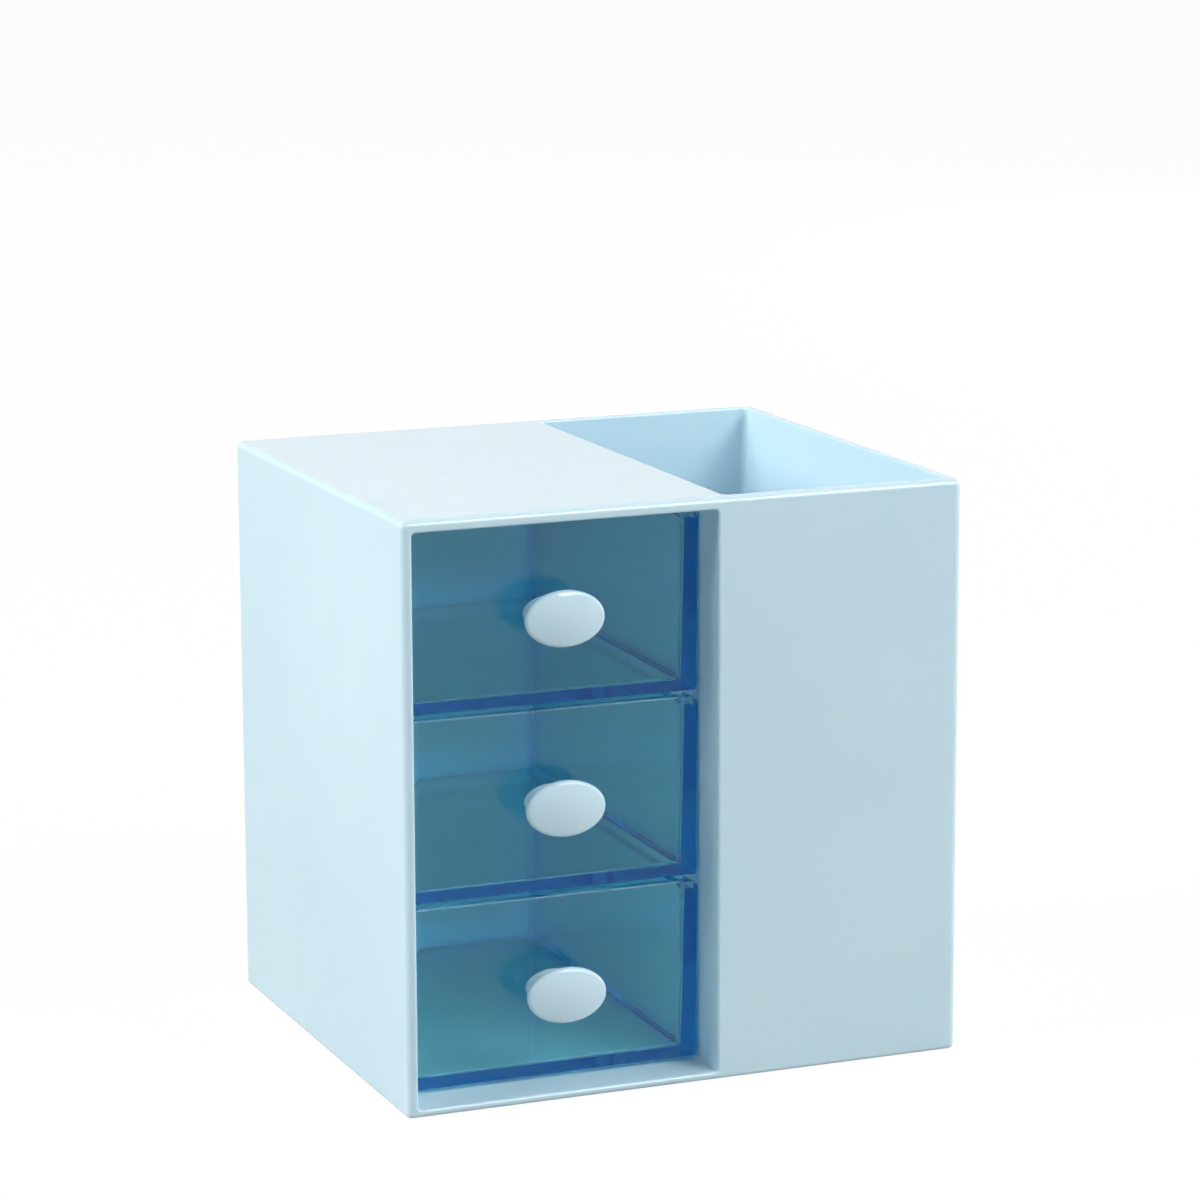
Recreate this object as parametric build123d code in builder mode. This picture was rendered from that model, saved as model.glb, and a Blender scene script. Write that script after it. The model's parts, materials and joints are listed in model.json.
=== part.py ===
from build123d import *
import math
import os

# Desk drawer unit: a moulded housing with a bay of clear drawers beside an open pen bin.
# Millimetres, +Z up, the front faces -Y, and the origin is the middle of the base.

# Housing shell
housing_width = 118.5
housing_depth = 102.0
housing_height = 118.0
side_wall = 2.25
top_wall = 2.5
floor_wall = 1.5
back_wall = 2.2
outer_edge_radius = 1.4
base_edge_radius = 0.8

# Drawer bay, open at the front
bay_width = 63.5
bay_corner_radius = 0.8
bay_mouth_radius = 0.5

# Pen bin, open at the top
divider_wall = 2.0
bin_front_wall = 2.2
bin_corner_radius = 1.5
bin_floor_radius = 1.0
bin_rim_radius = 0.5

# Runner ledges on both sides of the bay
ledge_reach = 2.4
ledge_thickness = 2.0
ledge_root = 0.6
floor_runner_height = 0.8

# Drawers: open trays with walls drafted outside and in, whose fronts stand above their sides
drawer_names = ("bottom", "middle", "top")
drawer_recess = 9.2
drawer_length = 88.0
drawer_side_clearance = 0.3
drawer_front_gap = 1.1
drawer_seat_gap = 0.1
drawer_side_drop = 2.4
drawer_rim_wall = 1.8
drawer_floor = 1.7
drawer_side_draft_angle = 0.7
drawer_draft_angle = 1.5
drawer_edge_radius = 0.4
drawer_back_corner_radius = 1.5
drawer_rim_radius = 0.35
drawer_inner_corner_radius = 1.5
drawer_inner_floor_radius = 1.0
front_corner_radius = 2.0
front_return_depth = 4.2
closing_gap = 0.3

# Knobs: an oval head on an oval neck, held by a split spigot with a barb
knob_head_width = 16.5
knob_head_height = 11.2
knob_head_thickness = 2.6
knob_crown_radius = 15.0
knob_crown_side_radius = 32.0
knob_rim_radius = 0.8
knob_back_radius = 0.5
knob_neck_width = 11.6
knob_neck_height = 6.8
knob_neck_length = 6.6
knob_neck_radius = 0.6
spigot_width = 6.6
spigot_height = 4.4
spigot_clearance = 0.1
spigot_play = 0.15
spigot_slot_width = 1.0
barb_reach = 0.35
barb_length = 0.8
barb_taper_angle = 25.0

# Places that follow from the sizes
front_y = -housing_depth / 2
bay_height = housing_height - floor_wall - top_wall
bay_depth = housing_depth - back_wall
bay_left_x = side_wall - housing_width / 2
bay_right_x = bay_left_x + bay_width
bay_centre_x = bay_left_x + bay_width / 2
bay_centre_z = floor_wall + bay_height / 2
bin_left_x = bay_right_x + divider_wall
bin_right_x = housing_width / 2 - side_wall
bin_width = bin_right_x - bin_left_x
bin_depth = housing_depth - bin_front_wall - back_wall
bin_centre_x = (bin_left_x + bin_right_x) / 2
bin_centre_y = (bin_front_wall - back_wall) / 2
bin_height = housing_height - floor_wall

drawer_count = len(drawer_names)
lowest_seat_z = floor_wall + floor_runner_height
drawer_pitch = (bay_height - floor_runner_height) / drawer_count
drawer_width = bay_width - 2 * drawer_side_clearance
drawer_front_height = drawer_pitch - drawer_front_gap
drawer_front_y = front_y + drawer_recess
drawer_middle_y = drawer_front_y + drawer_length / 2
drawer_back_y = drawer_front_y + drawer_length
draft_slope = math.tan(math.radians(drawer_draft_angle))
cavity_depth = drawer_front_height - drawer_floor
cavity_inset = drawer_rim_wall + cavity_depth * draft_slope
trim_length = drawer_length - front_return_depth

ledge_front_y = drawer_front_y + front_return_depth + closing_gap
ledge_length = front_y + bay_depth + ledge_root - ledge_front_y
ledge_middle_y = ledge_front_y + ledge_length / 2
ledge_width = ledge_reach + ledge_root
ledge_middle_inset = (ledge_reach - ledge_root) / 2

knob_height = drawer_front_height / 2
knob_front_y = drawer_front_y - knob_neck_length - knob_head_thickness
crown_axis_y = knob_front_y + knob_crown_side_radius
crown_centre_y = crown_axis_y + knob_crown_side_radius - knob_crown_radius
barb_low_height = knob_height - spigot_height / 2 - barb_reach
front_wall_at_barb = drawer_rim_wall + (drawer_front_height - barb_low_height) * draft_slope
barb_start = front_wall_at_barb + spigot_play
spigot_length = barb_start + barb_length

os.makedirs("parts", exist_ok=True)

# The housing: one shell with the bay, the pen bin and the runner ledges
with BuildPart() as housing:
    with BuildSketch(Plane.XY):
        Rectangle(housing_width, housing_depth)
    extrude(amount=housing_height)
    fillet(housing.edges().sort_by(Axis.Z)[4:], outer_edge_radius)
    fillet(housing.faces().sort_by(Axis.Z)[0].edges(), base_edge_radius)

    with BuildSketch(Plane.XZ.offset(-front_y)):
        with Locations((bay_centre_x, bay_centre_z)):
            RectangleRounded(bay_width, bay_height, bay_corner_radius)
    extrude(amount=-bay_depth, mode=Mode.SUBTRACT)
    fillet(housing.faces().sort_by(Axis.Y)[0].inner_wires()[0].edges(), bay_mouth_radius)

    with BuildSketch(Plane.XY.offset(housing_height)):
        with Locations((bin_centre_x, bin_centre_y)):
            RectangleRounded(bin_width, bin_depth, bin_corner_radius)
    extrude(amount=-bin_height, mode=Mode.SUBTRACT)
    fillet(housing.faces(Select.LAST).sort_by(Axis.Z)[0].edges(), bin_floor_radius)
    fillet(housing.faces().sort_by(Axis.Z)[-1].inner_wires()[0].edges(), bin_rim_radius)

    for level in range(drawer_count + 1):
        thickness = ledge_thickness if level else floor_runner_height
        ledge_z = lowest_seat_z + level * drawer_pitch - thickness / 2
        left_place = (bay_left_x + ledge_middle_inset, ledge_middle_y, ledge_z)
        right_place = (bay_right_x - ledge_middle_inset, ledge_middle_y, ledge_z)
        with Locations(left_place, right_place):
            Box(ledge_width, ledge_length, thickness)
housing.part.label = "housing"
export_step(housing.part, "parts/housing.step")

for level, name in enumerate(drawer_names):
    bottom_z = lowest_seat_z + level * drawer_pitch + drawer_seat_gap
    top_z = bottom_z + drawer_front_height
    knob_z = bottom_z + knob_height
    drawer_front = Plane.XZ.offset(-drawer_front_y)

    # A drawer: a block with rounded top corners, trimmed behind its front and hollowed out
    with BuildPart() as drawer:
        with BuildSketch(drawer_front) as front_outline:
            with Locations((bay_centre_x, bottom_z + drawer_front_height / 2)):
                Trapezoid(drawer_width, drawer_front_height, 90 + drawer_side_draft_angle)
            fillet(front_outline.vertices().group_by(Axis.Y)[-1], front_corner_radius)
        extrude(amount=-drawer_length)
        with Locations((bay_centre_x, drawer_back_y - trim_length / 2, top_z - drawer_side_drop / 2)):
            Box(drawer_width, trim_length, drawer_side_drop, mode=Mode.SUBTRACT)

        back_edges = drawer.faces().sort_by(Axis.Y)[-1].edges().sort_by(Axis.X)
        fillet([back_edges[0], back_edges[-1]], drawer_back_corner_radius)
        front_edges = drawer.faces().sort_by(Axis.Y)[0].edges()
        bottom_edges = drawer.faces().sort_by(Axis.Z)[0].edges()
        fillet(front_edges + bottom_edges, drawer_edge_radius)

        with BuildSketch(Plane.XY.offset(bottom_z + drawer_floor)):
            with Locations((bay_centre_x, drawer_middle_y)):
                RectangleRounded(
                    drawer_width - 2 * cavity_inset,
                    drawer_length - 2 * cavity_inset,
                    drawer_inner_corner_radius,
                )
        extrude(amount=cavity_depth, taper=-drawer_draft_angle, mode=Mode.SUBTRACT)
        fillet(drawer.faces(Select.LAST).sort_by(Axis.Z)[0].edges(), drawer_inner_floor_radius)

        rim = drawer.faces().filter_by(Axis.Z).group_by(Axis.Z)[-2]
        fillet(rim.edges().sort_by(Axis.Y)[2:], drawer_rim_radius)

        with BuildSketch(drawer_front):
            with Locations((bay_centre_x, knob_z)):
                Ellipse(spigot_width / 2 + spigot_clearance, spigot_height / 2 + spigot_clearance)
        extrude(amount=-front_return_depth, mode=Mode.SUBTRACT)
    drawer.part.label = f"{name}_drawer"
    export_step(drawer.part, f"parts/{name}_drawer.step")

    # Its knob: neck, crowned head and the spigot that snaps into the drawer's front
    with BuildPart() as knob:
        with BuildSketch(drawer_front):
            with Locations((bay_centre_x, knob_z)):
                Ellipse(knob_neck_width / 2, knob_neck_height / 2)
        extrude(amount=knob_neck_length)
        with BuildSketch(drawer_front.offset(knob_neck_length)):
            with Locations((bay_centre_x, knob_z)):
                Ellipse(knob_head_width / 2, knob_head_height / 2)
        extrude(amount=knob_head_thickness)
        with BuildSketch(Plane.YZ.offset(bay_centre_x)):
            with BuildLine():
                crown = CenterArc((crown_centre_y, knob_z), knob_crown_radius, -90, 180)
                high_end = (crown_axis_y, knob_z + knob_crown_radius)
                low_end = (crown_axis_y, knob_z - knob_crown_radius)
                Polyline(crown @ 1, high_end, low_end, crown @ 0)
            make_face()
        revolve(axis=Axis((bay_centre_x, crown_axis_y, knob_z), (0, 0, 1)), mode=Mode.INTERSECT)
        fillet(knob.faces().sort_by(Axis.Y)[0].edges(), knob_rim_radius)
        head_back = knob.faces().filter_by(Axis.Y).sort_by(Axis.Y)[0]
        fillet(head_back.inner_wires()[0].edges(), knob_neck_radius)
        head_back = knob.faces().filter_by(Axis.Y).sort_by(Axis.Y)[0]
        fillet(head_back.outer_wire().edges(), knob_back_radius)

        with BuildSketch(drawer_front):
            with Locations((bay_centre_x, knob_z)):
                Ellipse(spigot_width / 2, spigot_height / 2)
        extrude(amount=-spigot_length)
        with BuildSketch(drawer_front.offset(-barb_start)):
            with Locations((bay_centre_x, knob_z)):
                Ellipse(spigot_width / 2 + barb_reach, spigot_height / 2 + barb_reach)
        extrude(amount=-barb_length, taper=barb_taper_angle)
        with Locations((bay_centre_x, drawer_front_y + spigot_length / 2, knob_z)):
            Box(knob_neck_width, spigot_length, spigot_slot_width, mode=Mode.SUBTRACT)
    knob.part.label = f"{name}_knob"
    export_step(knob.part, f"parts/{name}_knob.step")
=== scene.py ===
import json
import math
from typing import NamedTuple

import bpy
from mathutils import Matrix, Vector


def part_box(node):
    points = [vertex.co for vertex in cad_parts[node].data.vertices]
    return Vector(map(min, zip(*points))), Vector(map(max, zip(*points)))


# A desk drawer unit: pale blue moulded housing and knobs, clear blue drawers.
# Metres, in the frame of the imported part: +Z up, the front faces -Y.

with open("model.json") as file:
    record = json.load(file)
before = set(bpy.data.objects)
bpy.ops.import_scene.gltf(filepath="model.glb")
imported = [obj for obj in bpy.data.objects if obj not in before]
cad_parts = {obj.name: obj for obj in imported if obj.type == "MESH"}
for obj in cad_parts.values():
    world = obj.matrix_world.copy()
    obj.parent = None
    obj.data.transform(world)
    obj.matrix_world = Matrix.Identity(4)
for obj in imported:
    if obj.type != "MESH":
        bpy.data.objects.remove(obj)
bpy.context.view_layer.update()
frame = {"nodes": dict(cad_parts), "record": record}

MM = 0.001

# The camera, as fitted to the housing's edges in the photograph
YAW = math.radians(22.282)
PITCH = math.radians(11.528)
ROLL = math.radians(-0.222)
CAMERA_DISTANCE = 845.35 * MM
TARGET_FROM_LEFT = 40.64 * MM
TARGET_HEIGHT = 99.65 * MM
FOCAL_PIXELS = 4382.2
PHOTO_PIXELS = 1200
SENSOR_WIDTH = 36.0

# The surroundings
WHITE = (1.0, 1.0, 1.0, 1.0)
SKY_STRENGTH = 0.16
SKY_SEEN_STRENGTH = 1.0
FLOOR_SIDE = 24.0
FLOOR_DROP = 0.2 * MM
FLOOR_SHADE = 0.4
FLOOR_SEEN_SHADE = 0.96
FLOOR_WHITE_SHARE = 0.97
FLOOR_MIRRORED_SHARE = 0.25

# Lamps: name, place and size in metres, power in watts
LAMPS = (
    ("key_lamp", (-1.30, 0.12, 0.72), (0.7, 0.7), 20.4),
    ("front_lamp", (0.65, -1.05, 0.95), (0.7, 0.7), 13.9),
    ("side_lamp", (1.40, -0.50, 0.45), (0.8, 0.8), 7.6),
    ("back_lamp", (1.25, 0.98, 0.26), (0.7, 0.4), 11.5),
)
LAMP_AIM = (0.0, 0.0, 0.06)

# Light goes through many faces of clear plastic before it leaves the closed drawers
MOST_BOUNCES = 160
CLEAR_BOUNCES = 128
DIFFUSE_BOUNCES = 8

# What all the plastics share: how fine their noise is, and which part of it the clouds spread over
CLOUD_DETAIL = 3.0
CLOUD_SPAN = (0.3, 0.7)
GLOSS_DETAIL = 4.0
GLOSS_NOISE_ROUGHNESS = 0.6
WAVE_DETAIL = 1.0

# The opaque plastic lets light in a little way, blue furthest
OPAQUE_IOR = 1.5
SUBSURFACE_REACH = (0.8, 1.0, 1.1)
SUBSURFACE_SCALE = 0.25 * MM

# The clear plastic's tint is in its depth, so that its edges are deep blue
CLEAR_IOR = 1.45
TINT = (0.0, 0.6, 0.88, 1.0)
TINT_DENSITY = 25.0


def srgb(red, green, blue):
    """A colour as seen on a screen, 0 to 255, as the linear colour that a socket takes."""
    def linear(value):
        share = value / 255
        return share / 12.92 if share <= 0.04045 else ((share + 0.055) / 1.055) ** 2.4
    return (linear(red), linear(green), linear(blue), 1.0)


class Surface(NamedTuple):
    """How a plastic varies over its surface: its colours, its roughness and its waves."""
    pale: tuple
    deep: tuple
    cloud_scale: float
    roughness_span: tuple
    gloss_scale: float
    gloss_span: tuple
    wave_scale: float
    wave_strength: float
    wave_depth: float


HOUSING_SURFACE = Surface(
    pale=srgb(211, 235, 245),
    deep=srgb(205, 230, 241),
    cloud_scale=14.0,
    roughness_span=(0.12, 0.2),
    gloss_scale=55.0,
    gloss_span=(0.3, 0.7),
    wave_scale=30.0,
    wave_strength=0.05,
    wave_depth=0.5 * MM,
)
KNOB_SURFACE = HOUSING_SURFACE._replace(deep=srgb(206, 231, 242), roughness_span=(0.05, 0.09))
DRAWER_SURFACE = Surface(
    pale=(0.76, 0.93, 0.93, 1.0),
    deep=(0.72, 0.91, 0.91, 1.0),
    cloud_scale=18.0,
    roughness_span=(0.05, 0.10),
    gloss_scale=70.0,
    gloss_span=(0.35, 0.75),
    wave_scale=35.0,
    wave_strength=0.03,
    wave_depth=0.4 * MM,
)


class Tree:
    """A node tree with short calls to add and join nodes."""

    def __init__(self, tree):
        self.nodes = tree.nodes
        self.links = tree.links
        self.nodes.clear()

    def add(self, kind, **settings):
        node = self.nodes.new(kind)
        for name, value in settings.items():
            setattr(node, name, value)
        return node

    def join(self, source, target):
        self.links.new(source, target)

    def coordinates(self):
        return self.add("ShaderNodeTexCoord").outputs["Object"]

    def noise(self, place, scale, detail, roughness=0.5):
        node = self.add("ShaderNodeTexNoise")
        self.join(place, node.inputs["Vector"])
        node.inputs["Scale"].default_value = scale
        node.inputs["Detail"].default_value = detail
        node.inputs["Roughness"].default_value = roughness
        return node.outputs["Fac"]

    def ramp(self, value, span, to_span=(0.0, 1.0)):
        node = self.add("ShaderNodeMapRange")
        self.join(value, node.inputs["Value"])
        node.inputs["From Min"].default_value, node.inputs["From Max"].default_value = span
        node.inputs["To Min"].default_value, node.inputs["To Max"].default_value = to_span
        return node.outputs["Result"]

    def mix(self, share, first, second):
        node = self.add("ShaderNodeMix", data_type="RGBA")
        self.join(share, node.inputs["Factor"])
        node.inputs["A"].default_value = first
        node.inputs["B"].default_value = second
        return node.outputs["Result"]

    def bump(self, height, strength, distance):
        node = self.add("ShaderNodeBump")
        node.inputs["Strength"].default_value = strength
        node.inputs["Distance"].default_value = distance
        self.join(height, node.inputs["Height"])
        return node.outputs["Normal"]

    def by_ray(self, otherwise, seen, mirrored):
        """One value where light falls, one for the camera, one for gloss and what shows through plastic."""
        path = self.add("ShaderNodeLightPath")
        either = self.add("ShaderNodeMath", operation="MAXIMUM")
        self.join(path.outputs["Is Glossy Ray"], either.inputs[0])
        self.join(path.outputs["Is Transmission Ray"], either.inputs[1])
        indirect = self.add("ShaderNodeMix", data_type="FLOAT")
        indirect.inputs["A"].default_value = otherwise
        indirect.inputs["B"].default_value = mirrored
        self.join(either.outputs[0], indirect.inputs["Factor"])
        chosen = self.add("ShaderNodeMix", data_type="FLOAT")
        self.join(indirect.outputs["Result"], chosen.inputs["A"])
        chosen.inputs["B"].default_value = seen
        self.join(path.outputs["Is Camera Ray"], chosen.inputs["Factor"])
        return chosen.outputs["Result"]


def new_plastic(name, surface):
    """A material with faint clouds of colour, an uneven gloss and a soft waviness."""
    material = bpy.data.materials.new(name)
    material.use_nodes = True
    tree = Tree(material.node_tree)
    output = tree.add("ShaderNodeOutputMaterial")
    shader = tree.add("ShaderNodeBsdfPrincipled")
    tree.join(shader.outputs["BSDF"], output.inputs["Surface"])

    place = tree.coordinates()
    clouds = tree.ramp(tree.noise(place, surface.cloud_scale, CLOUD_DETAIL), CLOUD_SPAN)
    tree.join(tree.mix(clouds, surface.deep, surface.pale), shader.inputs["Base Color"])
    patches = tree.noise(place, surface.gloss_scale, GLOSS_DETAIL, GLOSS_NOISE_ROUGHNESS)
    gloss = tree.ramp(patches, surface.gloss_span, surface.roughness_span)
    tree.join(gloss, shader.inputs["Roughness"])
    waves = tree.noise(place, surface.wave_scale, WAVE_DETAIL)
    normal = tree.bump(waves, surface.wave_strength, surface.wave_depth)
    tree.join(normal, shader.inputs["Normal"])
    return material, tree, shader, output


def opaque_plastic(name, surface):
    material, _, shader, _ = new_plastic(name, surface)
    shader.inputs["IOR"].default_value = OPAQUE_IOR
    shader.inputs["Subsurface Weight"].default_value = 1.0
    shader.inputs["Subsurface Radius"].default_value = SUBSURFACE_REACH
    shader.inputs["Subsurface Scale"].default_value = SUBSURFACE_SCALE
    return material


def clear_plastic(name, surface):
    material, tree, shader, output = new_plastic(name, surface)
    shader.inputs["IOR"].default_value = CLEAR_IOR
    shader.inputs["Transmission Weight"].default_value = 1.0
    absorption = tree.add("ShaderNodeVolumeAbsorption")
    absorption.inputs["Color"].default_value = TINT
    absorption.inputs["Density"].default_value = TINT_DENSITY
    tree.join(absorption.outputs["Volume"], output.inputs["Volume"])
    return material


def dress(node, material):
    """The node's mesh gets this one material."""
    mesh = frame["nodes"][node].data
    mesh.materials.clear()
    mesh.materials.append(material)


def add_camera():
    low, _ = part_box("housing")
    target = Vector((low.x + TARGET_FROM_LEFT, low.y, low.z + TARGET_HEIGHT))
    forward = Vector((
        math.sin(YAW) * math.cos(PITCH),
        math.cos(YAW) * math.cos(PITCH),
        -math.sin(PITCH),
    ))
    level = Vector((math.cos(YAW), -math.sin(YAW), 0.0))
    upright = level.cross(forward)
    right = math.cos(ROLL) * level + math.sin(ROLL) * upright
    up = math.cos(ROLL) * upright - math.sin(ROLL) * level
    data = bpy.data.cameras.new("camera")
    data.sensor_width = SENSOR_WIDTH
    data.lens = FOCAL_PIXELS / PHOTO_PIXELS * SENSOR_WIDTH
    camera = bpy.data.objects.new("camera", data)
    turn = Matrix((right, up, -forward)).transposed().to_4x4()
    camera.matrix_world = Matrix.Translation(target - CAMERA_DISTANCE * forward) @ turn
    bpy.context.scene.collection.objects.link(camera)
    bpy.context.scene.camera = camera


def add_lamps():
    for name, place, size, power in LAMPS:
        data = bpy.data.lights.new(name, "AREA")
        data.shape = "RECTANGLE"
        data.size, data.size_y = size
        data.energy = power
        lamp = bpy.data.objects.new(name, data)
        lamp.location = place
        lamp.rotation_euler = (Vector(LAMP_AIM) - Vector(place)).to_track_quat("-Z", "Y").to_euler()
        lamp.visible_camera = False
        bpy.context.scene.collection.objects.link(lamp)


def add_sky():
    """An even sky that is white where it is seen and softer where it lights."""
    world = bpy.data.worlds.new("sky")
    bpy.context.scene.world = world
    world.use_nodes = True
    tree = Tree(world.node_tree)
    output = tree.add("ShaderNodeOutputWorld")
    sky = tree.add("ShaderNodeBackground")
    sky.inputs["Color"].default_value = WHITE
    strength = tree.by_ray(SKY_STRENGTH, SKY_SEEN_STRENGTH, SKY_SEEN_STRENGTH)
    tree.join(strength, sky.inputs["Strength"])
    tree.join(sky.outputs["Background"], output.inputs["Surface"])


def add_floor():
    """A plain pale floor, near white where it is seen, which keeps a faint shadow."""
    half = FLOOR_SIDE / 2
    outline = ((-half, -half), (half, -half), (half, half), (-half, half))
    mesh = bpy.data.meshes.new("floor")
    mesh.from_pydata([(x, y, -FLOOR_DROP) for x, y in outline], [], [(0, 1, 2, 3)])
    floor = bpy.data.objects.new("floor", mesh)
    bpy.context.scene.collection.objects.link(floor)
    material = bpy.data.materials.new("floor")
    material.use_nodes = True
    tree = Tree(material.node_tree)
    output = tree.add("ShaderNodeOutputMaterial")
    paint = tree.add("ShaderNodeBsdfDiffuse")
    tree.join(tree.by_ray(FLOOR_SHADE, FLOOR_SEEN_SHADE, FLOOR_SHADE), paint.inputs["Color"])
    glow = tree.add("ShaderNodeEmission")
    glow.inputs["Color"].default_value = WHITE
    blend = tree.add("ShaderNodeMixShader")
    tree.join(tree.by_ray(0.0, FLOOR_WHITE_SHARE, FLOOR_MIRRORED_SHARE), blend.inputs["Fac"])
    tree.join(paint.outputs["BSDF"], blend.inputs[1])
    tree.join(glow.outputs["Emission"], blend.inputs[2])
    tree.join(blend.outputs["Shader"], output.inputs["Surface"])
    mesh.materials.append(material)


finishes = {
    "housing_plastic": opaque_plastic("housing_plastic", HOUSING_SURFACE),
    "knob_plastic": opaque_plastic("knob_plastic", KNOB_SURFACE),
    "drawer_plastic": clear_plastic("drawer_plastic", DRAWER_SURFACE),
}
for subpart in frame["record"]["subparts"]:
    dress(subpart["node"], finishes[subpart["material_slot"]])

add_camera()
add_sky()
add_floor()
add_lamps()

scene = bpy.context.scene
scene.view_settings.view_transform = "Standard"
scene.cycles.max_bounces = MOST_BOUNCES
scene.cycles.transmission_bounces = CLEAR_BOUNCES
scene.cycles.glossy_bounces = CLEAR_BOUNCES
scene.cycles.diffuse_bounces = DIFFUSE_BOUNCES
scene.cycles.blur_glossy = 0.0
